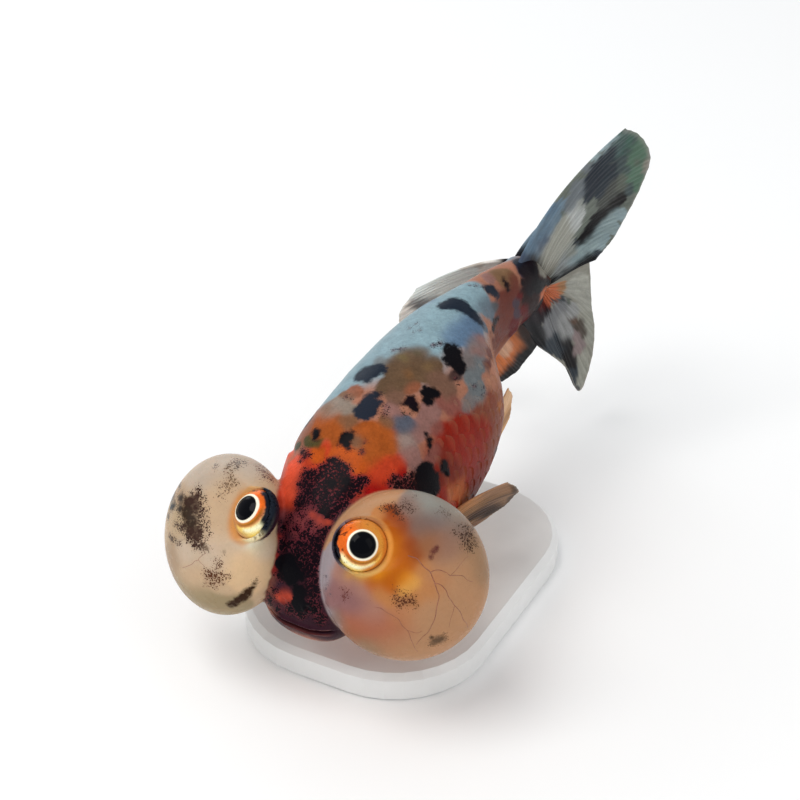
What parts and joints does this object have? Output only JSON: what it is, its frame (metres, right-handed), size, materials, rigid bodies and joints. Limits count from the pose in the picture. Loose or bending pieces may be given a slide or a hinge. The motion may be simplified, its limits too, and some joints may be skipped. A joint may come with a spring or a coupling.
{
  "type": "bubble eye goldfish model",
  "caption": "Calico bubble-eye goldfish, life size, swimming slightly nose-down with large cheek bubbles, twin tail and no back fin, on a low stand with one rod.",
  "frame": {"origin": "centre of the underside of the stand's base", "axes": "-Z out of the stand's underside, +Y from the nose toward the tail, +X toward the fish's left side"},
  "size_m": [0.0536, 0.1184, 0.0617],
  "materials": {
    "skin_head": "semi-gloss painted skin, black over brown-red",
    "skin_body": "semi-gloss painted skin, calico orange",
    "skin_tail": "semi-gloss painted skin, pale blue-grey",
    "bubble": "glossy, looks like translucent skin",
    "eye": "clear gloss over gold iris",
    "paired_fin": "semi-gloss, thin and rayed",
    "tail_fin": "semi-gloss, thin and rayed",
    "stand_base": "satin white",
    "stand_rod": "brushed"
  },
  "bodies": {
    "root": {"head": "skin_head", "trunk": "skin_body", "tail_stalk": "skin_tail", "bubble_left": "bubble", "eye_left": "eye", "pectoral_fin_left": "paired_fin", "pelvic_fin_left": "paired_fin", "anal_fin_left": "paired_fin", "tail_fin_left_upper": "tail_fin", "tail_fin_left_lower": "tail_fin", "bubble_right": "bubble", "eye_right": "eye", "pectoral_fin_right": "paired_fin", "pelvic_fin_right": "paired_fin", "anal_fin_right": "paired_fin", "tail_fin_right_upper": "tail_fin", "tail_fin_right_lower": "tail_fin", "stand_base": "stand_base", "stand_rod": "stand_rod"}
  },
  "joints": []
}
